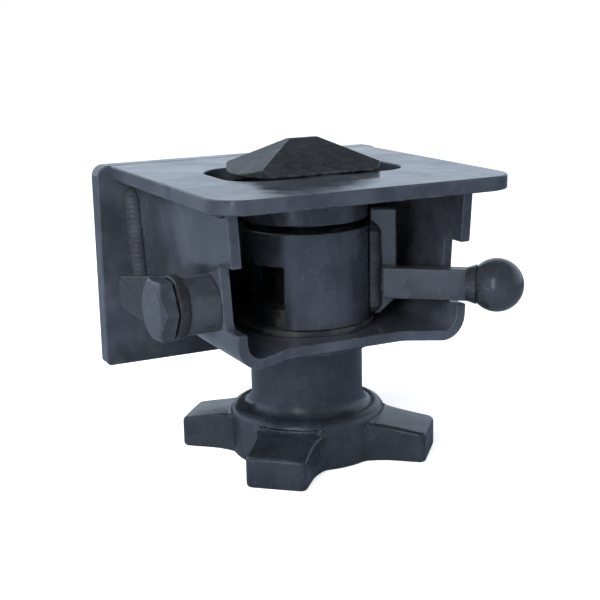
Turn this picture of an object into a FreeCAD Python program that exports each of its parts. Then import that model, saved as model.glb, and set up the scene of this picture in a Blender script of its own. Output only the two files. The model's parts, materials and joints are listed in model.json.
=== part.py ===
import FreeCAD, Part
import Sketcher
import math
import os

# Screw-down container twistlock with a weld-on housing.
# Frame: X across, Y from the front (-Y) to the weld face (Y = 0), Z up.
# The origin is the centre of the weld face, the rear face of the back plate.

# Driving dimensions, in mm and degrees.
SIZES = {
    # back plate and top plate
    "back_width": 194, "back_height": 124, "back_thick": 12, "back_high_corner": 7,
    "back_low_corner": 3, "plate_width": 178, "plate_depth": 168, "plate_thick": 8,
    "plate_corner": 19, "slot_length": 110, "slot_width": 63, "slot_corner": 20,
    "axis_to_weld_face": 93,
    # pressed channel under the plate
    "channel_width": 150, "channel_height": 87, "channel_thick": 6, "wall_lean": 3.5,
    "channel_setback": 25, "floor_outer_corner": 14, "floor_inner_corner": 8, "floor_hollow": 11,
    "floor_hollow_width": 112, "floor_hollow_flat": 72, "floor_hollow_corner": 12,
    "notch_depth": 17, "notch_corner": 3,
    # guide collar above, bush and wear ring below
    "collar_height": 19, "collar_step": 1, "sleeve_radius": 38, "guide_bore": 31,
    "bush_height": 12, "bush_wall": 6, "wear_ring_thick": 3, "wear_ring_lip": 2,
    # the lock: head, shaft, sleeve
    "head_length": 88, "head_width": 60, "head_rim": 0.8, "head_rise": 17.8, "head_gap": 0.4,
    "ridge_length": 18.5, "ridge_width": 4, "guide_boss_radius": 29.5,
    "guide_boss_height": 7, "shaft_radius": 18, "shaft_length": 152, "lift_travel": 4,
    "sleeve_wall": 7, "end_ring_thick": 10, "window_height": 36, "window_angle": 105,
    "window_start": 120, "drive_pin_radius": 3,
    # handle
    "bar_angle": -39, "bar_start": 46.5, "bar_reach": 99.5, "bar_thick": 10, "bar_height": 18,
    "bar_drop": 55.5, "fin_reach": 53, "fin_thick": 8, "fin_chamfer": 10, "fin_end_gap": 1, "fin_rise": 8,
    "ball_radius": 15.3, "ball_reach": 111, "ball_neck_radius": 9.5, "ball_neck_flare": 2,
    "ball_neck_length": 6, "ball_neck_lead": 2, "weld_leg": 5.5,
    # star nut and what keeps it on the shaft
    "neck_radius": 33, "neck_length": 52, "hub_radius": 45.5, "hub_height": 29, "hub_overlap": 3,
    "arm_reach": 74, "arm_width": 35, "arm_root_height": 23, "arm_tip_height": 18,
    "arm_corner": 4, "arm_web_radius": 40, "nut_angle": 49, "thrust_washer_thick": 3, "flare_size": 3,
    "hub_bevel": 3, "recess_radius": 25, "recess_depth": 24,
    "end_washer_radius": 22, "end_washer_thick": 4, "end_bolt_radius": 6,
    "end_bolt_length": 20, "end_bolt_flats": 19, "end_bolt_head": 7.5,
    # stop bolt on the left wall
    "bolt_to_axis": 29, "bolt_drop": 63.5, "bolt_radius": 10, "bolt_flats": 32,
    "bolt_head_height": 9, "bevel_inset": 1.5, "bevel_slope": 1.7, "boss_radius": 16,
    "boss_length": 18, "strap_length": 84, "strap_height": 35, "strap_tail_height": 19,
    "strap_tail_corner": 6, "strap_thick": 6, "spacer_radius": 9, "spacer_inset": 14,
    "bolt_washer_radius": 15, "bolt_washer_thick": 1, "thread_tail": 2,
    # clearances, and how far a cutting tool runs past what it cuts
    "fit": 0.05, "turn_gap": 0.3, "bar_gap": 1.5, "notch_head_room": 16, "past": 1,
}

doc = FreeCAD.newDocument("container_twistlock")
sheet = doc.addObject("Spreadsheet::Sheet", "sheet")
for row, (alias, value) in enumerate(SIZES.items(), start=1):
    sheet.set("A%d" % row, alias)
    sheet.set("B%d" % row, str(value))
    sheet.setAlias("B%d" % row, alias)
doc.recompute()


def s(text):
    """Expression text in which every $name is a cell of the sheet."""
    return text.replace("$", "sheet.")


# Levels and places that several pieces share, as expressions.
TOP = s("($back_height / 2)")
UNDER = s("(%s - $plate_thick)" % TOP)
AXIS_Y = s("(-$axis_to_weld_face)")
BACK_FACE = s("(-$back_thick)")
PLATE_FRONT = s("(-$back_thick - $plate_depth)")
CHANNEL_FRONT = s("(%s + $channel_setback)" % PLATE_FRONT)
CHANNEL_DEPTH = s("($plate_depth - $channel_setback)")
FLOOR_BOTTOM = s("(%s - $channel_height)" % UNDER)
FLOOR_TOP = s("(%s + $channel_thick)" % FLOOR_BOTTOM)
LEAN = s("tan($wall_lean * 1 deg)")
COLLAR_BOTTOM = s("(%s - $collar_height)" % UNDER)
SLEEVE_TOP = s("(%s - $lift_travel)" % COLLAR_BOTTOM)
SLEEVE_BOTTOM = s("(%s + $wear_ring_thick)" % FLOOR_TOP)
SLEEVE_BORE = s("($sleeve_radius - $sleeve_wall)")
HEAD_BASE = s("(%s + $head_gap)" % TOP)
SHAFT_END = s("(%s - $shaft_length)" % TOP)
BAR_CENTRE = s("(%s - $bar_drop - $bar_height / 2)" % TOP)
BAR_BOTTOM = s("(%s - $bar_drop - $bar_height)" % TOP)
NOTCH_BOTTOM = s("(%s - $bar_gap)" % BAR_BOTTOM)
NOTCH_HEIGHT = s("($bar_height + $bar_gap + $notch_head_room)")
NECK_TOP = s("(%s - $thrust_washer_thick)" % SLEEVE_BOTTOM)
HUB_TOP = s("(%s - $neck_length + $hub_overlap)" % NECK_TOP)
HUB_BOTTOM = s("(%s - $hub_height)" % HUB_TOP)
BUSH_BORE = s("($neck_radius + $turn_gap)")
BUSH_RADIUS = s("(%s + $bush_wall)" % BUSH_BORE)
BOLT_Y = s("(%s - $bolt_to_axis)" % AXIS_Y)
BOLT_Z = s("(%s - $bolt_drop)" % TOP)
WALL_X = s("($channel_width / 2 - ($bolt_drop - $plate_thick) * %s)" % LEAN)
BOSS_X = s("(-%s - $boss_length)" % WALL_X)
STRAP_X = s("(%s - $strap_thick)" % BOSS_X)
WASHER_X = s("(%s - $bolt_washer_thick)" % STRAP_X)

UPRIGHT = FreeCAD.Vector(0, 0, 1)
X_AXIS = FreeCAD.Rotation(FreeCAD.Vector(0, 1, 0), 90)
Y_AXIS = FreeCAD.Rotation(FreeCAD.Vector(1, 0, 0), -90)
# Along X, with a hexagon's corners in front and behind and its flats above and below.
BOLT_TURN = X_AXIS.multiply(FreeCAD.Rotation(UPRIGHT, 90))
# How near two levels of a finished shape lie when they are the same level, in mm.
SAME_LEVEL = 0.1
nodes = []


def node(obj, name):
    """Marks a finished object as the sub-part with this name."""
    obj.Label = name
    nodes.append(obj)
    return obj


def bind(obj, **sizes):
    """Ties properties of obj to expressions."""
    for prop, text in sizes.items():
        obj.setExpression(prop, s(text))
    return obj


def place(obj, x="0", y="0", z="0", turn=None, angle=None):
    """Puts obj at x, y, z, with a fixed turn or a bound angle about Z."""
    if turn is not None:
        obj.Placement = FreeCAD.Placement(FreeCAD.Vector(), turn)
    for letter, text in (("x", x), ("y", y), ("z", z)):
        obj.setExpression("Placement.Base." + letter, s(text))
    if angle is not None:
        obj.Placement = FreeCAD.Placement(FreeCAD.Vector(), FreeCAD.Rotation(UPRIGHT, 1))
        obj.setExpression("Placement.Rotation.Angle", s(angle))
    return obj


def box(name, length, width, height, x="0", y="0", z="0"):
    """A block with its low corner at x, y, z."""
    block = bind(doc.addObject("Part::Box", name), Length=length, Width=width, Height=height)
    return place(block, x, y, z)


def cylinder(name, radius, height, x="0", y="0", z="0", turn=None, sector=None):
    """A cylinder from its end at x, y, z, along Z or along the turned axis."""
    drum = bind(doc.addObject("Part::Cylinder", name), Radius=radius, Height=height)
    if sector is not None:
        bind(drum, Angle=sector)
    return place(drum, x, y, z, turn)


def cone(name, low_radius, high_radius, height, x="0", y="0", z="0", turn=None):
    """A cone frustum from its end at x, y, z."""
    frustum = bind(doc.addObject("Part::Cone", name), Radius1=low_radius, Radius2=high_radius, Height=height)
    return place(frustum, x, y, z, turn)


def hexagon(name, flats, height, x="0", y="0", z="0", turn=None):
    """A six-sided bar, measured across its flats."""
    bar = bind(doc.addObject("Part::Prism", name), Circumradius="(%s) / sqrt(3)" % flats, Height=height)
    bar.Polygon = 6
    return place(bar, x, y, z, turn)


def fuse(name, *shapes):
    """One solid from several."""
    joined = doc.addObject("Part::MultiFuse", name)
    joined.Shapes = list(shapes)
    joined.Refine = True
    return joined


def cut(name, base, *tools):
    """base with the tools taken out of it."""
    tool = tools[0] if len(tools) == 1 else fuse(name + "_tools", *tools)
    result = doc.addObject("Part::Cut", name)
    result.Base = base
    result.Tool = tool
    result.Refine = True
    return result


def common(name, base, tool):
    """What two shapes share."""
    result = doc.addObject("Part::Common", name)
    result.Base = base
    result.Tool = tool
    result.Refine = True
    return result


def ring(name, outer, inner, height, y=AXIS_Y, z="0"):
    """A ring about the lock axis, from z up."""
    hole = cylinder(name + "_hole", inner, "(%s) + 2 * $past" % height, "0", y, "(%s) - $past" % z)
    return cut(name, cylinder(name + "_disc", outer, height, "0", y, z), hole)


def profile(body, name, plane, corners, offset=None):
    """A closed outline of straight lines, each corner tied to its two expressions."""
    sketch = body.newObject("Sketcher::SketchObject", name)
    base = [feature for feature in body.Origin.OriginFeatures if feature.Role == plane][0]
    sketch.AttachmentSupport = [(base, "")]
    sketch.MapMode = "FlatFace"
    if offset is not None:
        sketch.setExpression("AttachmentOffset.Base.z", s(offset))
    count = len(corners)
    step = 2 * math.pi / count
    start = [FreeCAD.Vector(math.cos(i * step), math.sin(i * step), 0) for i in range(count)]
    for i in range(count):
        sketch.addGeometry(Part.LineSegment(start[i], start[(i + 1) % count]))
    for i in range(count):
        sketch.addConstraint(Sketcher.Constraint("Coincident", i, 2, (i + 1) % count, 1))
    for i, (across, up) in enumerate(corners):
        tie(sketch, Sketcher.Constraint("DistanceX", -1, 1, i, 1, start[i].x), across)
        tie(sketch, Sketcher.Constraint("DistanceY", -1, 1, i, 1, start[i].y), up)
    return sketch


def tie(sketch, constraint, text):
    """Adds a constraint whose value is an expression."""
    index = sketch.addConstraint(constraint)
    sketch.setExpression("Constraints[%d]" % index, s(text))


def pad(name, plane, corners, length, offset=None):
    """A body with one outline padded along its plane's normal."""
    body = doc.addObject("PartDesign::Body", name)
    sketch = profile(body, name + "_outline", plane, corners, offset)
    feature = body.newObject("PartDesign::Pad", name + "_pad")
    feature.Profile = sketch
    feature.setExpression("Length", s(length))
    doc.recompute()
    return body


def round_edges(body, name, radius, wanted):
    """Fillets the straight edges of the body's tip that wanted(edge) picks."""
    tip = body.Tip
    picked = []
    for number, edge in enumerate(tip.Shape.Edges, start=1):
        if isinstance(edge.Curve, Part.Line) and wanted(edge):
            picked.append("Edge%d" % number)
    fillet = body.newObject("PartDesign::Fillet", name)
    fillet.Base = (tip, picked)
    fillet.setExpression("Radius", s(radius))
    doc.recompute()
    return body


def along(edge, axis):
    """Whether a straight edge runs along X (0), Y (1) or Z (2)."""
    step = edge.Vertexes[-1].Point - edge.Vertexes[0].Point
    return abs(step[axis]) > 0.999 * step.Length


# ---- welded housing -------------------------------------------------------------------


def make_top_plate():
    """The container's seat: a plate with round front corners and the head's slot."""
    half = "$plate_width / 2"
    corners = [("-" + half, PLATE_FRONT), (half, PLATE_FRONT), (half, BACK_FACE), ("-" + half, BACK_FACE)]
    blank = pad("top_plate_blank", "XY_Plane", corners, "$plate_thick", UNDER)
    middle = blank.Shape.BoundBox.Center.y
    round_edges(blank, "top_plate_corners", "$plate_corner",
                lambda edge: along(edge, 2) and edge.Vertexes[0].Y < middle)
    node(cut("top_plate_part", blank, slot_tool()), "top_plate")


def slot_tool():
    """What the head's slot is cut with: a round-cornered block about the lock axis."""
    half = "$slot_length / 2"
    front = "%s - $slot_width / 2" % AXIS_Y
    back = "%s + $slot_width / 2" % AXIS_Y
    corners = [("-" + half, front), (half, front), (half, back), ("-" + half, back)]
    block = pad("slot_tool", "XY_Plane", corners, "$plate_thick + 2 * $past", "%s - $past" % UNDER)
    return round_edges(block, "slot_corners", "$slot_corner", lambda edge: along(edge, 2))


def make_back_plate():
    """The weld-on plate, flush with the top plate and wider than it."""
    half = "$back_width / 2"
    low = "-" + TOP
    corners = [("-" + half, low), (half, low), (half, TOP), ("-" + half, TOP)]
    plate = pad("back_plate_part", "XZ_Plane", corners, "$back_thick")
    round_edges(plate, "back_plate_high_corners", "$back_high_corner",
                lambda edge: along(edge, 1) and edge.Vertexes[0].Z > 0)
    round_edges(plate, "back_plate_low_corners", "$back_low_corner",
                lambda edge: along(edge, 1) and edge.Vertexes[0].Z < 0)
    node(plate, "back_plate")


def wall_line(level, inside=False):
    """X of the channel wall's face at a level: it leans in towards the floor."""
    text = "($channel_width / 2 - (%s - (%s)) * %s)" % (UNDER, level, LEAN)
    return "(%s - $channel_thick)" % text if inside else text


def make_channel():
    """The pressed channel, open to the front, with a notch in each wall for the handle."""
    outer_low, outer_high = wall_line(FLOOR_BOTTOM), wall_line(UNDER)
    inner_low, inner_high = wall_line(FLOOR_TOP, True), wall_line(UNDER, True)
    corners = [
        ("-" + outer_high, UNDER), ("-" + outer_low, FLOOR_BOTTOM),
        (outer_low, FLOOR_BOTTOM), (outer_high, UNDER),
        (inner_high, UNDER), (inner_low, FLOOR_TOP),
        ("-" + inner_low, FLOOR_TOP), ("-" + inner_high, UNDER),
    ]
    channel = pad("channel_blank", "XZ_Plane", corners, CHANNEL_DEPTH, "$back_thick")
    bottom = channel.Shape.BoundBox.ZMin
    floor_top = bottom + SIZES["channel_thick"]
    round_edges(channel, "channel_outer_bends", "$floor_outer_corner",
                lambda edge: along(edge, 1) and abs(edge.Vertexes[0].Z - bottom) < SAME_LEVEL)
    round_edges(channel, "channel_inner_bends", "$floor_inner_corner",
                lambda edge: along(edge, 1) and abs(edge.Vertexes[0].Z - floor_top) < SAME_LEVEL)
    node(cut("channel_part", channel, notch_tool(), hollow_tool(), bush_hole(), bolt_hole()),
         "housing_channel")


def notch_tool():
    """What both handle notches are cut with: a bar across the channel, open to the front."""
    front = "%s - 2 * $notch_corner" % CHANNEL_FRONT
    back = "%s + $notch_depth" % CHANNEL_FRONT
    high = "%s + %s" % (NOTCH_BOTTOM, NOTCH_HEIGHT)
    corners = [(front, NOTCH_BOTTOM), (back, NOTCH_BOTTOM), (back, high), (front, high)]
    bar = pad("notch_tool", "YZ_Plane", corners, "$channel_width + 2 * $past",
              "-$channel_width / 2 - $past")
    middle = bar.Shape.BoundBox.Center.y
    return round_edges(bar, "notch_corners", "$notch_corner",
                       lambda edge: along(edge, 0) and edge.Vertexes[0].Y > middle)


def hollow_tool():
    """The shallow hollow in the floor's front edge, with a straight bottom and sloping ends."""
    wide, flat = "$floor_hollow_width / 2", "$floor_hollow_flat / 2"
    front = "%s - $past" % CHANNEL_FRONT
    back = "%s + $floor_hollow" % CHANNEL_FRONT
    corners = [("-" + wide, front), (wide, front), (wide, CHANNEL_FRONT), (flat, back),
               ("-" + flat, back), ("-" + wide, CHANNEL_FRONT)]
    tool = pad("hollow_tool", "XY_Plane", corners, "$channel_thick + 2 * $past",
               "%s - $past" % FLOOR_BOTTOM)
    bottom = tool.Shape.BoundBox.YMax
    return round_edges(tool, "hollow_corners", "$floor_hollow_corner",
                       lambda edge: along(edge, 2) and bottom - edge.Vertexes[0].Y < SAME_LEVEL)


def bush_hole():
    """The hole in the floor that the bush is welded into."""
    return cylinder("bush_hole", BUSH_RADIUS, "$channel_thick + 2 * $past", "0", AXIS_Y,
                    "%s - $past" % FLOOR_BOTTOM)


def bolt_hole():
    """The stop bolt's hole in the left wall."""
    return cylinder("wall_bolt_hole", "$bolt_radius + $fit", "2 * $channel_thick + $boss_length",
                    BOSS_X, BOLT_Y, BOLT_Z, X_AXIS)


def make_guides():
    """The collar under the slot and the bush in the floor."""
    node(ring("guide_collar_part", "$sleeve_radius - $collar_step", "$guide_bore", "$collar_height",
              z=COLLAR_BOTTOM), "guide_collar")
    node(ring("floor_bush_part", BUSH_RADIUS, BUSH_BORE, "$bush_height",
              z="%s - $bush_height" % FLOOR_TOP), "floor_bush")
    node(ring("wear_ring_part", "$sleeve_radius + $wear_ring_lip", BUSH_BORE, "$wear_ring_thick",
              z=FLOOR_TOP), "wear_ring")


def compound(name, *shapes):
    """Separate solids of one kind in one sub-part."""
    group = doc.addObject("Part::Compound", name)
    group.Links = list(shapes)
    return node(group, name)


def plate_weld(name, x, quadrant):
    """A quarter-round fillet weld under the top plate, along a channel wall."""
    run = cylinder(name, "$weld_leg", CHANNEL_DEPTH, sector="90")
    quarter = FreeCAD.Rotation(UPRIGHT, quadrant)
    return place(run, x, CHANNEL_FRONT, UNDER, Y_AXIS.multiply(quarter))


def wall_weld(name, x, angle, walls, back):
    """A fillet weld down the corner of a leaning wall and the back plate."""
    run = cylinder(name + "_round", "$weld_leg", "$channel_height - $floor_outer_corner")
    place(run, x, BACK_FACE, "%s - $weld_leg" % UNDER)
    run.Placement = FreeCAD.Placement(FreeCAD.Vector(), FreeCAD.Rotation(FreeCAD.Vector(0, 1, 0), 180))
    run.setExpression("Placement.Rotation.Angle", s(angle))
    return cut(name, run, walls, back)


def make_housing_welds():
    """The fillet welds that hold the housing together."""
    half = "$channel_width / 2"
    compound("plate_welds", plate_weld("plate_weld_right", half, 0),
             plate_weld("plate_weld_left", "-" + half, 90))
    walls = doc.getObject("channel_blank")
    back = doc.getObject("back_plate_part")
    compound("back_plate_welds",
             wall_weld("wall_weld_right", "%s - $weld_leg * %s" % (half, LEAN),
                       "180 + $wall_lean", walls, back),
             wall_weld("wall_weld_left", "-%s + $weld_leg * %s" % (half, LEAN),
                       "180 - $wall_lean", walls, back))


# ---- stop bolt on the left wall -----------------------------------------------------------


def wall_boss(name, radius, y, z, hole):
    """A round boss from the leaning wall out to the strap."""
    drum = cylinder(name + "_drum", radius, "$boss_length + $channel_thick / 2", BOSS_X, y, z, X_AXIS)
    tools = [doc.getObject("channel_blank")]
    if hole:
        tools.append(cylinder(name + "_bore", "$bolt_radius + $fit", "$boss_length + $channel_thick",
                              "%s - $past" % BOSS_X, y, z, X_AXIS))
    return cut(name, drum, *tools)


def make_strap():
    """The tail plate under the bolt head: a round nose about the bolt and a tapered tail."""
    low = "%s - $strap_height / 2" % BOLT_Z
    tail = "%s + $strap_length" % BOLT_Y
    corners = [(BOLT_Y, low), (tail, low), (tail, "%s + $strap_tail_height" % low),
               (BOLT_Y, "%s + $strap_height / 2" % BOLT_Z)]
    plate = pad("strap_tail", "YZ_Plane", corners, "$strap_thick", STRAP_X)
    middle = plate.Shape.BoundBox.Center.y
    round_edges(plate, "strap_tail_corners", "$strap_tail_corner",
                lambda edge: along(edge, 0) and edge.Vertexes[0].Y > middle)
    nose = cylinder("strap_nose", "$strap_height / 2", "$strap_thick", STRAP_X, BOLT_Y, BOLT_Z, X_AXIS)
    hole = cylinder("strap_hole", "$bolt_radius + $fit", "$strap_thick + 2 * $past",
                    "%s - $past" % STRAP_X, BOLT_Y, BOLT_Z, X_AXIS)
    node(cut("strap_part", fuse("strap_blank", plate, nose), hole), "stop_strap")


def bevelled_head(name, flats, height, x, y, z, turn=None):
    """A hexagon head whose outer corners are turned off by a cone."""
    prism = hexagon(name + "_prism", flats, height, x, y, z, turn)
    face = "(%s) / 2 - $bevel_inset" % flats
    bevel = cone(name + "_cone", face, "%s + $bevel_slope * (%s)" % (face, height), height, x, y, z, turn)
    return common(name, prism, bevel)


def make_stop_bolt():
    """The bolt group: boss, strap, spacer, washer and bolt."""
    node(wall_boss("boss_part", "$boss_radius", BOLT_Y, BOLT_Z, True), "bolt_boss")
    spacer_y = "%s + $strap_length - $spacer_inset" % BOLT_Y
    spacer_z = "%s - $strap_height / 2 + $strap_tail_height / 2" % BOLT_Z
    node(wall_boss("spacer_part", "$spacer_radius", spacer_y, spacer_z, False), "strap_spacer")
    make_strap()
    hole = cylinder("bolt_washer_hole", "$bolt_radius + $fit", "$bolt_washer_thick + 2 * $past",
                    "%s - $past" % WASHER_X, BOLT_Y, BOLT_Z, X_AXIS)
    disc = cylinder("bolt_washer_disc", "$bolt_washer_radius", "$bolt_washer_thick",
                    WASHER_X, BOLT_Y, BOLT_Z, X_AXIS)
    node(cut("bolt_washer_part", disc, hole), "bolt_washer")
    head = bevelled_head("bolt_head", "$bolt_flats", "$bolt_head_height",
                         "%s - $bolt_head_height" % WASHER_X, BOLT_Y, BOLT_Z, BOLT_TURN)
    end = "-%s + $thread_tail" % wall_line(BOLT_Z, True)
    shank = cylinder("bolt_shank", "$bolt_radius", "%s - (%s)" % (end, WASHER_X),
                     WASHER_X, BOLT_Y, BOLT_Z, X_AXIS)
    node(fuse("bolt_part", head, shank), "stop_bolt")


# ---- the lock: head, shaft, sleeve and handle ------------------------------------------------


def make_head():
    """The forged head on its shaft, drilled for the drive pin and the end bolt."""
    half_long, half_wide = "$head_length / 2", "$head_width / 2"
    rim = box("head_rim_block", "$head_length", "$head_width", "$head_rim",
              "-" + half_long, "-" + half_wide, HEAD_BASE)
    roof = doc.addObject("Part::Wedge", "head_roof")
    bind(roof, Xmin="-" + half_long, Xmax=half_long, Zmin="-" + half_wide, Zmax=half_wide,
         Ymin="0", Ymax="$head_rise - $head_rim", X2min="-$ridge_length / 2", X2max="$ridge_length / 2",
         Z2min="-$ridge_width / 2", Z2max="$ridge_width / 2")
    place(roof, z="%s + $head_rim" % HEAD_BASE, turn=FreeCAD.Rotation(FreeCAD.Vector(1, 0, 0), 90))
    guide = cylinder("guide_boss", "$guide_boss_radius", "$guide_boss_height",
                     z="%s - $guide_boss_height" % HEAD_BASE)
    shaft = cylinder("shaft_bar", "$shaft_radius", "%s - %s" % (HEAD_BASE, SHAFT_END), z=SHAFT_END)
    ends = cylinder("head_ends", half_long, "$head_rise", z=HEAD_BASE)
    crown = common("head_crown", fuse("head_block", rim, roof), ends)
    blank = fuse("head_blank", crown, guide, shaft)
    cross = drive_pin_bar("shaft_pin_hole", "$drive_pin_radius + $fit", "$shaft_radius + $past")
    tapped = cylinder("end_bolt_hole", "$end_bolt_radius + $fit", "$end_bolt_length + $past",
                      z="%s - $past" % SHAFT_END)
    head = cut("head_part", blank, cross, tapped)
    on_axis(head, "lock_head_shaft")


def drive_pin_bar(name, radius, reach):
    """A round bar across the shaft, at the level of the sleeve's top ring."""
    level = "%s - $end_ring_thick / 2" % SLEEVE_TOP
    return cylinder(name, radius, "2 * (%s)" % reach, "-(%s)" % reach, "0", level, X_AXIS)


def make_sleeve():
    """The sleeve about the shaft: a tube with a window, a ring in each end and the drive pin."""
    height = "%s - %s" % (SLEEVE_TOP, SLEEVE_BOTTOM)
    tube = ring("tube_blank", "$sleeve_radius", SLEEVE_BORE, height, "0", SLEEVE_BOTTOM)
    window = cylinder("window_sector", "$sleeve_radius + $past", "$window_height + $past",
                      sector="$window_angle")
    place(window, z="%s - $past" % SLEEVE_BOTTOM, angle="$window_start")
    on_axis(cut("tube_part", tube, window), "sleeve_tube")
    top = end_ring("top_ring_blank", "%s - $end_ring_thick" % SLEEVE_TOP)
    drilled = cut("top_ring_part", top,
                  drive_pin_bar("ring_pin_hole", "$drive_pin_radius + $fit", "$sleeve_radius"))
    on_axis(drilled, "sleeve_top_ring")
    on_axis(end_ring("bottom_ring_part", SLEEVE_BOTTOM), "sleeve_bottom_ring")
    pin = drive_pin_bar("drive_pin_bar", "$drive_pin_radius", "%s - 2 * $fit" % SLEEVE_BORE)
    on_axis(copy_of("drive_pin_part", pin), "drive_pin")


def end_ring(name, low):
    """One of the two rings that fill the sleeve's ends about the shaft."""
    return ring(name, "%s - $fit" % SLEEVE_BORE, "$shaft_radius + $fit", "$end_ring_thick", "0", low)


def on_axis(obj, name):
    """Moves a piece that was made about the origin to the lock axis."""
    return node(place(obj, y=AXIS_Y), name)


def make_handle():
    """The flat bar lapped onto its fin, the ball on its end and their welds."""
    side = "$bar_thick / 2"
    bar = box("bar_block", "$bar_reach - $bar_start", "$bar_thick", "$bar_height",
              "$bar_start", "-" + side, BAR_BOTTOM)
    turn_with_bar(copy_of("bar_part", bar), "handle_bar")
    fin_low = "%s + $fin_end_gap" % SLEEVE_BOTTOM
    fin_high = "%s + $fin_rise" % SLEEVE_TOP
    corners = [(SLEEVE_BORE, fin_low), ("$fin_reach - $fin_chamfer", fin_low),
               ("$fin_reach", "%s + $fin_chamfer" % fin_low), ("$fin_reach", fin_high),
               (SLEEVE_BORE, fin_high)]
    blank = pad("fin_blank", "XZ_Plane", corners, "$fin_thick", "-%s - $fin_thick" % side)
    core = cylinder("fin_core", "$sleeve_radius", "$channel_height", z=FLOOR_TOP)
    turn_with_bar(cut("fin_part", blank, core), "handle_fin")
    bead = cylinder("fin_bead_round", "$weld_leg", "%s - $fin_end_gap - %s" % (SLEEVE_TOP, fin_low),
                    "sqrt($sleeve_radius^2 - (%s)^2)" % side, side, fin_low)
    turn_with_bar(cut("fin_bead", bead, core, blank), "fin_weld")
    seam = cylinder("bar_bead_round", "$weld_leg / 2", "$bar_height", "$bar_start", side, BAR_BOTTOM)
    turn_with_bar(cut("bar_bead", seam, blank, bar), "bar_weld")
    ball = doc.addObject("Part::Sphere", "ball_round")
    bind(ball, Radius="$ball_radius")
    place(ball, "$ball_reach", "0", BAR_CENTRE)
    neck = cone("ball_neck", "$ball_neck_radius", "$ball_neck_radius + $ball_neck_flare", "$ball_neck_length",
                "$ball_reach - $ball_radius - $ball_neck_lead", "0", BAR_CENTRE, X_AXIS)
    turn_with_bar(cut("ball_part", fuse("ball_blank", ball, neck), bar), "handle_knob")


def copy_of(name, shape):
    """A second object of the same shape, which can be turned on its own."""
    group = doc.addObject("Part::Compound", name)
    group.Links = [shape]
    return group


def turn_with_bar(obj, name):
    """Turns a handle piece to the bar's direction about the lock axis."""
    return node(place(obj, y=AXIS_Y, angle="$bar_angle"), name)


# ---- star nut and its retainer --------------------------------------------------------------


def make_star_nut():
    """The four-armed nut with its long neck, bored for the shaft and hollow underneath."""
    neck = cylinder("nut_neck", "$neck_radius", "$neck_length", z="%s - $neck_length" % NECK_TOP)
    flare = cone("nut_flare", "$neck_radius + $flare_size", "$neck_radius", "2 * $flare_size", z=HUB_TOP)
    shoulder = "(%s - $hub_bevel)" % HUB_TOP
    bevel = cone("hub_bevel_cone", "$hub_radius", "$hub_radius - $hub_bevel", "$hub_bevel", z=shoulder)
    hub = cylinder("nut_hub", "$hub_radius", "$hub_height - $hub_bevel", z=HUB_BOTTOM)
    blank = fuse("nut_blank", neck, flare, bevel, hub, star_arms())
    bore = cylinder("nut_bore", "$shaft_radius + $fit", "$neck_length + $hub_height + $past",
                    z="%s - $past" % HUB_BOTTOM)
    recess = cylinder("nut_recess", "$recess_radius", "$recess_depth + $past",
                      z="%s - $past" % HUB_BOTTOM)
    nut = cut("nut_part", blank, bore, recess)
    node(place(nut, y=AXIS_Y, angle="$nut_angle"), "star_nut")


def star_arms():
    """Four arms with hollow-curved webs between them, sloping down from root to tip."""
    centre = "($arm_width / 2 + $arm_web_radius)"
    web = box("nut_web_block", "2 * " + centre, "2 * " + centre, "$arm_root_height",
              "-" + centre, "-" + centre, HUB_BOTTOM)
    rounds = [cylinder("web_round_%s%s" % (x_name, y_name), "$arm_web_radius",
                       "$arm_root_height + 2 * $past", x_sign + centre, y_sign + centre,
                       "%s - $past" % HUB_BOTTOM)
              for x_name, x_sign in (("left", "-"), ("right", ""))
              for y_name, y_sign in (("front", "-"), ("back", ""))]
    star = fuse("nut_star", cut("nut_web", web, *rounds),
                arm_pair("nut_arms_x", "$arm_reach", "$arm_width / 2"),
                arm_pair("nut_arms_y", "$arm_width / 2", "$arm_reach"))
    run = "($arm_reach - $hub_radius) / ($arm_root_height - $arm_tip_height)"
    slope = cone("nut_arm_slope", "$hub_radius + $arm_root_height * %s" % run, "$hub_radius",
                 "$arm_root_height", z=HUB_BOTTOM)
    return common("nut_sloped_star", star, slope)


def arm_pair(name, half_x, half_y):
    """Two opposite arms as one bar, with its upright edges rounded."""
    corners = [("-" + half_x, "-" + half_y), (half_x, "-" + half_y), (half_x, half_y), ("-" + half_x, half_y)]
    bar = pad(name, "XY_Plane", corners, "$arm_root_height", HUB_BOTTOM)
    return round_edges(bar, name + "_corners", "$arm_corner", lambda edge: along(edge, 2))


def make_retainer():
    """The thrust washer above the nut, and the end washer and bolt that stop it coming off."""
    node(ring("thrust_washer_part", "$neck_radius", "$shaft_radius + $fit", "$thrust_washer_thick",
              z=NECK_TOP), "thrust_washer")
    low = "%s - $end_washer_thick" % SHAFT_END
    node(ring("end_washer_part", "$end_washer_radius", "$end_bolt_radius + $fit", "$end_washer_thick",
              z=low), "end_washer")
    head = bevelled_head("end_bolt_head_solid", "$end_bolt_flats", "$end_bolt_head", "0", AXIS_Y,
                         "%s - $end_bolt_head" % low)
    shank = cylinder("end_bolt_shank", "$end_bolt_radius", "$end_washer_thick + $end_bolt_length - $past",
                     "0", AXIS_Y, low)
    node(fuse("end_bolt_part", head, shank), "end_bolt")


def check_and_write():
    """Refuses a failed object or a bad shape, then writes one STEP file for each sub-part."""
    doc.recompute()
    for obj in doc.Objects:
        bad = [state for state in obj.State if state in ("Invalid", "Error")]
        if bad:
            raise RuntimeError("%s is %s" % (obj.Name, bad))
    os.makedirs("parts", exist_ok=True)
    for obj in nodes:
        if obj.Shape.isNull() or not obj.Shape.isValid():
            raise RuntimeError("%s has no valid shape" % obj.Label)
        obj.Shape.exportStep("parts/%s.step" % obj.Label)
        print("%-20s %d solid(s) %10.0f mm3" % (obj.Label, len(obj.Shape.Solids), obj.Shape.Volume))


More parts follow.
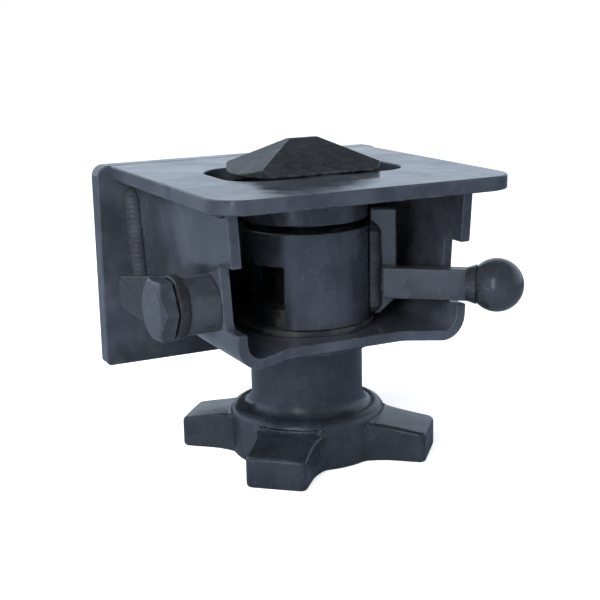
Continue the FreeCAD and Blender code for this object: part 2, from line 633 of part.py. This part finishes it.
make_top_plate()
make_back_plate()
make_channel()
make_guides()
make_housing_welds()
make_stop_bolt()
make_head()
make_sleeve()
make_handle()
make_star_nut()
make_retainer()
check_and_write()
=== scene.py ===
import bpy
import bmesh
import json
import math
from mathutils import Matrix, Vector


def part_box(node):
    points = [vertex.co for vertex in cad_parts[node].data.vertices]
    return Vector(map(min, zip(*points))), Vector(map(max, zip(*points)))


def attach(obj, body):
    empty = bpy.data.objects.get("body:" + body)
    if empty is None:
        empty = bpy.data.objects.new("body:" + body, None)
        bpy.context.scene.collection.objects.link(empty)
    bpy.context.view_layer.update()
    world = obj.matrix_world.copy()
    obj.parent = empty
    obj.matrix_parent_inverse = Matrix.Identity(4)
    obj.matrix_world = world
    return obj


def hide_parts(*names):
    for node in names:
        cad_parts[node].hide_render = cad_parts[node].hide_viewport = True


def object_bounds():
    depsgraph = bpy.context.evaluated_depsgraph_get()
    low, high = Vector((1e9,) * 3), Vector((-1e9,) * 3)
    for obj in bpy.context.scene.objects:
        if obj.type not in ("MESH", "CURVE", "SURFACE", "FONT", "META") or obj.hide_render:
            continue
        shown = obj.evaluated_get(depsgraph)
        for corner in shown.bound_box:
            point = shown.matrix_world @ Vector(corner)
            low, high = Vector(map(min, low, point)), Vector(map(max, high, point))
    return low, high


# Container twistlock: materials, rounded edges, weld beads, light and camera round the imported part.

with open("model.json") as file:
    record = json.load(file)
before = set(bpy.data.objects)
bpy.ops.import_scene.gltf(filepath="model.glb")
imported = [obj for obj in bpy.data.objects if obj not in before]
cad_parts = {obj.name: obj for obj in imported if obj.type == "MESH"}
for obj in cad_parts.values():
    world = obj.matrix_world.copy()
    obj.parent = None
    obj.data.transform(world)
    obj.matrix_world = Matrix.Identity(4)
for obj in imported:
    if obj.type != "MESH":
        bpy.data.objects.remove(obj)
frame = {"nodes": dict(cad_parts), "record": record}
cad_box = [list(corner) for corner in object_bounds()]

# Scene lengths are in metres. These sizes repeat the part's own, in millimetres and degrees.
MM = 0.001
SLEEVE_RADIUS = 38
BAR_HALF_THICK = 5
BAR_START = 46.5
BAR_ANGLE = -39
WALL_LEAN = 3.5

turning = next(joint for joint in frame["record"]["behaviour"]["joints"] if joint["name"] == "lock_turn")
LOCK_Y = turning["pos_m"][1]

WHITE = (1.0, 1.0, 1.0)
WORN_STEEL = (0.22, 0.22, 0.23)
OILED_STEEL = (0.12, 0.12, 0.13)
GREASE = (0.035, 0.034, 0.034)


# ---- materials ------------------------------------------------------------------------


class Tree:
    """Short calls for one node tree, a material's or the world's."""

    # the Mix node's sockets for colours
    MIX_A, MIX_B, MIXED = 6, 7, 2

    def __init__(self, owner, coordinates):
        owner.use_nodes = True
        self.nodes = owner.node_tree.nodes
        self.links = owner.node_tree.links
        self.place = self.add("ShaderNodeTexCoord").outputs[coordinates]

    def add(self, kind, **settings):
        made = self.nodes.new(kind)
        for name, value in settings.items():
            setattr(made, name, value)
        return made

    def put(self, value, socket):
        """Links an output to a socket, or sets a plain number or colour on it."""
        if isinstance(value, bpy.types.NodeSocket):
            self.links.new(value, socket)
        else:
            socket.default_value = value

    def noise(self, scale, detail, roughness=0.55, distortion=0.0):
        """Noise over the object's place. The scale is per metre, so a higher one is finer."""
        made = self.add("ShaderNodeTexNoise")
        self.put(self.place, made.inputs["Vector"])
        self.put(scale, made.inputs["Scale"])
        self.put(detail, made.inputs["Detail"])
        self.put(roughness, made.inputs["Roughness"])
        self.put(distortion, made.inputs["Distortion"])
        return made.outputs["Fac"]

    def spread(self, value, low, high, to_low=0.0, to_high=1.0, curve="SMOOTHSTEP"):
        """Maps low..high to to_low..to_high, clamped."""
        made = self.add("ShaderNodeMapRange", interpolation_type=curve)
        for number, part in enumerate((value, low, high, to_low, to_high)):
            self.put(part, made.inputs[number])
        return made.outputs[0]

    def maths(self, operation, a, b):
        made = self.add("ShaderNodeMath", operation=operation)
        self.put(a, made.inputs[0])
        self.put(b, made.inputs[1])
        return made.outputs[0]

    def dot(self, a, b):
        made = self.add("ShaderNodeVectorMath", operation="DOT_PRODUCT")
        self.put(a, made.inputs[0])
        self.put(b, made.inputs[1])
        return made.outputs["Value"]

    def mix(self, factor, a, b):
        made = self.add("ShaderNodeMix", data_type="RGBA")
        self.put(factor, made.inputs[0])
        for value, number in ((a, self.MIX_A), (b, self.MIX_B)):
            self.put(value if isinstance(value, bpy.types.NodeSocket) else (*value, 1.0), made.inputs[number])
        return made.outputs[self.MIXED]

    def bump(self, height, strength, distance, below=None):
        made = self.add("ShaderNodeBump")
        self.put(strength, made.inputs["Strength"])
        self.put(distance, made.inputs["Distance"])
        self.put(height, made.inputs["Height"])
        if below is not None:
            self.put(below, made.inputs["Normal"])
        return made.outputs["Normal"]

    def edges(self, radius):
        """1 on a flat face, falling towards 0 on the object's own sharp edges."""
        rounded = self.add("ShaderNodeBevel", samples=6)
        self.put(radius, rounded.inputs["Radius"])
        plain = self.add("ShaderNodeNewGeometry")
        return self.dot(rounded.outputs["Normal"], plain.outputs["Normal"])


def new_material(name):
    """A material, its tree and its shader's inputs."""
    material = bpy.data.materials.new(name)
    tree = Tree(material, "Object")
    return material, tree, tree.nodes["Principled BSDF"].inputs


def paint(name, colour, roughness, peel=0.10, waves=0.25, lumps=0.0, wear=0.5, dust=0.35, coat=0.0):
    """Black paint on steel: blotches, orange peel, long waves of the sheet, lumps and worn edges."""
    material, tree, shader = new_material(name)
    lighter = [min(1.0, 1.9 * part + 0.004) for part in colour]
    darker = [0.55 * part for part in colour]

    blotch = tree.noise(scale=38.0, detail=5.0, roughness=0.6)
    speck = tree.noise(scale=420.0, detail=3.0, roughness=0.6)
    body = tree.mix(tree.spread(blotch, low=0.35, high=0.68), darker, colour)
    body = tree.mix(tree.maths("MULTIPLY", tree.spread(speck, low=0.52, high=0.75), dust), body, lighter)

    rim = tree.spread(tree.edges(2 * MM), low=0.80, high=0.985, to_low=1.0, to_high=0.0)
    chips = tree.spread(tree.noise(scale=150.0, detail=6.0, roughness=0.7), low=0.48, high=0.60)
    worn = tree.maths("MULTIPLY", tree.maths("MULTIPLY", rim, chips), wear)
    tree.put(tree.mix(worn, body, WORN_STEEL), shader["Base Color"])

    sheen = tree.spread(blotch, low=0.3, high=0.7, to_low=roughness - 0.07, to_high=roughness + 0.09)
    tree.put(tree.maths("ADD", sheen, tree.maths("MULTIPLY", worn, 0.12)), shader["Roughness"])
    tree.put(tree.maths("MULTIPLY", worn, 0.7), shader["Metallic"])

    normal = tree.bump(tree.noise(scale=22.0, detail=2.0), waves, distance=2.5 * MM)
    if lumps > 0:
        rough_cast = tree.noise(scale=130.0, detail=5.0, roughness=0.62, distortion=0.4)
        normal = tree.bump(rough_cast, lumps, distance=1.2 * MM, below=normal)
    normal = tree.bump(tree.noise(scale=900.0, detail=2.0), peel, distance=0.2 * MM, below=normal)
    tree.put(normal, shader["Normal"])

    shader["IOR"].default_value = 1.55
    shader["Specular Tint"].default_value = (0.80, 0.89, 1.0, 1.0)
    shader["Coat Weight"].default_value = coat
    shader["Coat Roughness"].default_value = 0.12
    return material


def greased_steel(name):
    """Bare turned steel with a fine grain, under patches of dark grease."""
    material, tree, shader = new_material(name)
    bare = tree.spread(tree.noise(scale=55.0, detail=5.0, roughness=0.6), low=0.38, high=0.62)
    tree.put(tree.mix(bare, GREASE, OILED_STEEL), shader["Base Color"])
    tree.put(tree.spread(bare, low=0.0, high=1.0, to_low=0.30, to_high=0.42), shader["Roughness"])
    tree.put(tree.spread(bare, low=0.0, high=1.0, to_low=0.15, to_high=0.95), shader["Metallic"])
    grain = tree.noise(scale=700.0, detail=3.0)
    tree.put(tree.bump(grain, strength=0.12, distance=0.2 * MM), shader["Normal"])
    return material


PAINTS = {
    "housing_paint": dict(colour=(0.040, 0.045, 0.057), roughness=0.15, peel=0.05, waves=0.35, wear=0.75,
                          dust=0.15),
    "weld_paint": dict(colour=(0.030, 0.032, 0.038), roughness=0.38, peel=0.2, waves=0.1, lumps=0.35,
                       wear=0.2),
    # forged_paint is the forged head's dark, dull black. The stop strap is given it too, so the strap's face
    # comes out darker than the bolt head's. That darker face is painted shade, standing in for the shadow and
    # dark reflection beside the bolt head.
    "forged_paint": dict(colour=(0.012, 0.012, 0.013), roughness=0.36, peel=0.2, lumps=0.8, wear=0.35,
                         dust=0.6),
    "sleeve_paint": dict(colour=(0.032, 0.036, 0.046), roughness=0.24, wear=0.3, dust=0.2),
    "handle_paint": dict(colour=(0.034, 0.037, 0.045), roughness=0.27, wear=0.35, dust=0.2),
    "knob_gloss": dict(colour=(0.020, 0.022, 0.026), roughness=0.22, peel=0.05, waves=0.2, wear=0.0,
                       coat=0.4),
    "nut_paint": dict(colour=(0.020, 0.023, 0.029), roughness=0.24, waves=0.3, lumps=0.25, wear=0.25,
                      dust=0.2),
    "bolt_paint": dict(colour=(0.034, 0.037, 0.045), roughness=0.24, wear=0.4, dust=0.2),
}
MATERIALS = {name: paint(name, **recipe) for name, recipe in PAINTS.items()}
MATERIALS["inner_steel"] = greased_steel("inner_steel")


# ---- the CAD pieces: rounded edges and finish -----------------------------------------------


def round_off(piece, width, segments):
    """Closes the seams of the imported mesh, clears flat faces and rounds the sharp edges."""
    seams = piece.modifiers.new("seams", "WELD")
    seams.merge_threshold = 0.01 * MM
    flats = piece.modifiers.new("flats", "DECIMATE")
    flats.decimate_type = "DISSOLVE"
    flats.angle_limit = math.radians(0.4)
    edge = piece.modifiers.new("edge", "BEVEL")
    edge.width = width * MM
    edge.segments = segments
    edge.limit_method = "ANGLE"
    edge.angle_limit = math.radians(32)
    edge.miter_outer = "MITER_ARC"
    edge.use_clamp_overlap = False
    shade = piece.modifiers.new("shade", "WEIGHTED_NORMAL")
    shade.weight = 80


# Each node's bevel: its width in mm and its segments. The head's is small, as its rim is thin and it turns
# just above the seat plate.
EDGES = {
    "top_plate": (0.9, 3), "back_plate": (0.9, 3), "housing_channel": (0.8, 3), "guide_collar": (0.8, 3),
    "floor_bush": (0.8, 3), "wear_ring": (0.3, 2), "bolt_boss": (0.8, 3), "strap_spacer": (0.5, 2),
    "stop_strap": (1.2, 3), "bolt_washer": (0.6, 3), "stop_bolt": (0.5, 3), "lock_head_shaft": (0.35, 2),
    "sleeve_tube": (0.8, 3), "sleeve_top_ring": (0.3, 2), "sleeve_bottom_ring": (0.3, 2),
    "drive_pin": (0.3, 2), "handle_bar": (0.9, 3), "handle_fin": (0.9, 3), "star_nut": (2.2, 4),
    "thrust_washer": (0.3, 2), "end_washer": (0.4, 2), "end_bolt": (0.4, 2),
}
slot_of = {part["node"]: part["material_slot"] for part in frame["record"]["subparts"]}
for name, piece in frame["nodes"].items():
    piece.data.materials.clear()
    piece.data.materials.append(MATERIALS[slot_of[name]])
    if name in EDGES:
        round_off(piece, *EDGES[name])


# ---- weld beads ---------------------------------------------------------------------------

DOWN = Vector((0, 0, -1))
FRONT = Vector((0, -1, 0))
SIDES = ((1, "right"), (-1, "left"))

RINGS_PER_RIPPLE = 8
ARC_STEPS = 12
# Shares of a bead's leg: its plain reach, a ripple's height, and two slow drifts of the hand, each with its
# size, its period in ripples and its shift.
PLAIN_REACH = 0.90
RIPPLE = 0.045
DRIFTS = ((0.03, 5.3, 0.0), (0.02, 1.7, 1.0))
# How far a ripple bows along the run, in ripples, and how a bead's ends close, in legs.
BOW = 0.5
END_ROUND, END_BLUNT = 0.8, 0.02


def bead_reach(s, length, turn, leg, pitch):
    """How far a bead's skin stands from its corner, s along the run and turned from one face to the other."""
    taper = min(1.0, math.sqrt(max(END_BLUNT, min(s, length - s) / (END_ROUND * leg))))
    wave = ((s + BOW * pitch * math.sin(2 * turn)) / pitch) % 1.0
    ripple = RIPPLE * (1 - (2 * wave - 1) ** 2)
    drift = sum(size * math.sin(s / (period * pitch) + shift) for size, period, shift in DRIFTS)
    return leg * taper * (PLAIN_REACH + ripple + drift)


def bead(name, start, end, one_side, other_side, leg, pitch):
    """A fillet weld's bead: ripples bowed along the run, round ends, between two faces."""
    run = end - start
    length = run.length
    run.normalize()
    steps = max(RINGS_PER_RIPPLE, round(length / pitch * RINGS_PER_RIPPLE))
    mesh = bmesh.new()
    rows = []
    for i in range(steps + 1):
        s = length * i / steps
        row = []
        for k in range(ARC_STEPS + 1):
            turn = math.pi / 2 * k / ARC_STEPS
            outward = one_side * math.cos(turn) + other_side * math.sin(turn)
            row.append(mesh.verts.new(start + run * s + outward * bead_reach(s, length, turn, leg, pitch)))
        row.append(mesh.verts.new(start + run * s))
        rows.append(row)
    around = len(rows[0])
    for first, second in zip(rows, rows[1:]):
        for k in range(around):
            after = (k + 1) % around
            mesh.faces.new((first[k], first[after], second[after], second[k]))
    mesh.faces.new(rows[0][::-1])
    mesh.faces.new(rows[-1])
    bmesh.ops.recalc_face_normals(mesh, faces=mesh.faces)
    data = bpy.data.meshes.new(name)
    mesh.to_mesh(data)
    mesh.free()
    data.materials.append(MATERIALS["weld_paint"])
    data.shade_smooth()
    piece = bpy.data.objects.new(name, data)
    bpy.context.collection.objects.link(piece)
    return piece


def join(pieces, name):
    """One object from several."""
    bpy.ops.object.select_all(action="DESELECT")
    for piece in pieces:
        piece.select_set(True)
    bpy.context.view_layer.objects.active = pieces[0]
    bpy.ops.object.join()
    pieces[0].name = name
    return pieces[0]


def at_bar(x, y, z):
    """A point given along and across the handle bar, in mm from the lock's axis, with z in metres."""
    turned = Matrix.Rotation(math.radians(BAR_ANGLE), 3, "Z") @ Vector((x * MM, y * MM, 0))
    return Vector((turned.x, turned.y + LOCK_Y, z))


# under the seat plate, along the channel's walls, from 1 mm behind the CAD weld's front end
low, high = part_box("plate_welds")
plate_leg = high.z - low.z
wall_out = high.x - plate_leg
runs = []
for side, word in SIDES:
    corner = Vector((side * wall_out, 0, high.z))
    runs.append(bead("plate_bead_" + word, corner + Vector((0, low.y + 1 * MM, 0)),
                     corner + Vector((0, high.y, 0)), Vector((side, 0, 0)), DOWN,
                     leg=plate_leg, pitch=2.1 * MM))
plate_beads = join(runs, "plate_weld_beads")
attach(plate_beads, "housing")
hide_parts("plate_welds")

# down the back plate, where the channel's walls lean in
low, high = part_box("back_plate_welds")
wall_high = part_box("housing_channel")[1]
lean = math.tan(math.radians(WALL_LEAN))
runs = []
for side, word in SIDES:
    top = Vector((side * (wall_high.x - plate_leg * lean), high.y, high.z))
    foot = Vector((side * (wall_high.x - (wall_high.z - low.z) * lean), high.y, low.z))
    runs.append(bead("wall_bead_" + word, top, foot, Vector((side, 0, 0)), FRONT,
                     leg=8 * MM, pitch=3 * MM))
wall_beads = join(runs, "wall_weld_beads")
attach(wall_beads, "housing")
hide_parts("back_plate_welds")

# up the sleeve beside the fin. The sleeve falls away from the fin, so that face of the bead slopes.
along_bar = (at_bar(1, 0, 0) - at_bar(0, 0, 0)).normalized()
across_bar = (at_bar(0, 1, 0) - at_bar(0, 0, 0)).normalized()
SLEEVE_SLOPE = 0.13
low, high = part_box("fin_weld")
seat = math.sqrt(SLEEVE_RADIUS ** 2 - BAR_HALF_THICK ** 2)
sleeve_side = (across_bar * -1 + along_bar * SLEEVE_SLOPE).normalized()
fin_bead = bead("fin_weld_bead", at_bar(seat, BAR_HALF_THICK, low.z),
                at_bar(seat, BAR_HALF_THICK, high.z), along_bar, sleeve_side,
                leg=7 * MM, pitch=2.6 * MM)
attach(fin_bead, "lock")
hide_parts("fin_weld")

# up the bar's inner end
low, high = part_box("bar_weld")
bar_bead = bead("bar_weld_bead", at_bar(BAR_START, BAR_HALF_THICK, low.z),
                at_bar(BAR_START, BAR_HALF_THICK, high.z), along_bar * -1, across_bar * -1,
                leg=3.4 * MM, pitch=1.8 * MM)
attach(bar_bead, "lock")
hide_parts("bar_weld")


# ---- floor, light and camera ----------------------------------------------------------------

MIDDLE = (0.0, -0.09, 0.0)
# name, place, width, height, watts, and whether it shows in reflections
LAMPS = (
    ("softbox_left", (-1.0, -0.75, 0.45), 0.8, 0.9, 26.0, False),
    ("sheen_left", (-0.9, -0.95, 0.25), 0.25, 1.2, 2.4, True),
    ("softbox_top", (-0.4, 0.35, 1.15), 0.9, 0.9, 6.0, True),
    ("softbox_right", (1.0, -0.9, 0.3), 0.3, 0.9, 3.0, False),
)


def lay_floor():
    """A pale floor under the nut, nearly white to the camera and darker in reflections."""
    reach = 4.0
    lowest = cad_box[0][2]
    corners = [(x * reach, y * reach, lowest) for x, y in ((-1, -1), (1, -1), (1, 1), (-1, 1))]
    mesh = bpy.data.meshes.new("floor")
    mesh.from_pydata(corners, [], [(0, 1, 2, 3)])
    floor = bpy.data.objects.new("floor", mesh)
    bpy.context.collection.objects.link(floor)
    material, tree, shader = new_material("floor_white")
    shader["Roughness"].default_value = 1.0
    shader["Specular IOR Level"].default_value = 0.0
    rays = tree.add("ShaderNodeLightPath").outputs
    pale, mirrored = (0.82, 0.82, 0.82), (0.24, 0.28, 0.34)
    tree.put(tree.mix(rays["Is Glossy Ray"], pale, mirrored), shader["Base Color"])
    shader["Emission Color"].default_value = (*WHITE, 1.0)
    tree.put(tree.maths("MULTIPLY", rays["Is Camera Ray"], 0.65), shader["Emission Strength"])
    mesh.materials.append(material)


def light_world():
    """White to the camera, an even cool light elsewhere, and dimmer in reflections of the front and above."""
    world = bpy.data.worlds.new("studio")
    bpy.context.scene.world = world
    tree = Tree(world, "Generated")
    rays = tree.add("ShaderNodeLightPath").outputs
    front = tree.spread(tree.dot(tree.place, (-0.35, -0.93, 0.0)), low=-0.1, high=0.5,
                        to_low=1.0, to_high=0.38, curve="LINEAR")
    ceiling = tree.spread(tree.dot(tree.place, (0.0, 0.0, 1.0)), low=0.45, high=0.75,
                          to_low=1.0, to_high=0.2, curve="LINEAR")
    room = tree.maths("MULTIPLY", front, ceiling)
    unseen = tree.spread(rays["Is Glossy Ray"], low=0.0, high=1.0, to_low=0.6, to_high=room, curve="LINEAR")
    strength = tree.spread(rays["Is Camera Ray"], low=0.0, high=1.0, to_low=unseen, to_high=1.0,
                           curve="LINEAR")
    background = tree.nodes["Background"].inputs
    tree.put(strength, background["Strength"])
    tree.put(tree.mix(rays["Is Camera Ray"], (0.74, 0.85, 1.0), WHITE), background["Color"])


def hang_lamp(name, place, width, height, power, mirrored):
    data = bpy.data.lights.new(name, "AREA")
    data.shape = "RECTANGLE"
    data.size = width
    data.size_y = height
    data.energy = power
    lamp = bpy.data.objects.new(name, data)
    lamp.location = place
    lamp.rotation_euler = (Vector(MIDDLE) - Vector(place)).to_track_quat("-Z", "Y").to_euler()
    lamp.visible_glossy = mirrored
    bpy.context.collection.objects.link(lamp)


def set_camera():
    """A long lens in front of the housing, to the left and a little above, with a slight roll."""
    azimuth, elevation, roll = -116.216, 13.551, -1.149
    place = Vector((-0.3164, -0.7231, 0.1550))
    data = bpy.data.cameras.new("camera")
    data.lens = 74.1
    data.sensor_width = 36.0
    data.shift_x = 0.0067
    data.clip_start = 0.01
    data.clip_end = 50.0
    eye = bpy.data.objects.new("camera", data)
    eye.matrix_world = (Matrix.Translation(place)
                        @ Matrix.Rotation(math.radians(azimuth + 90), 4, "Z")
                        @ Matrix.Rotation(math.radians(90 - elevation), 4, "X")
                        @ Matrix.Rotation(math.radians(roll), 4, "Z"))
    bpy.context.collection.objects.link(eye)
    bpy.context.scene.camera = eye


lay_floor()
light_world()
for settings in LAMPS:
    hang_lamp(*settings)
set_camera()
bpy.context.scene.view_settings.view_transform = "Standard"
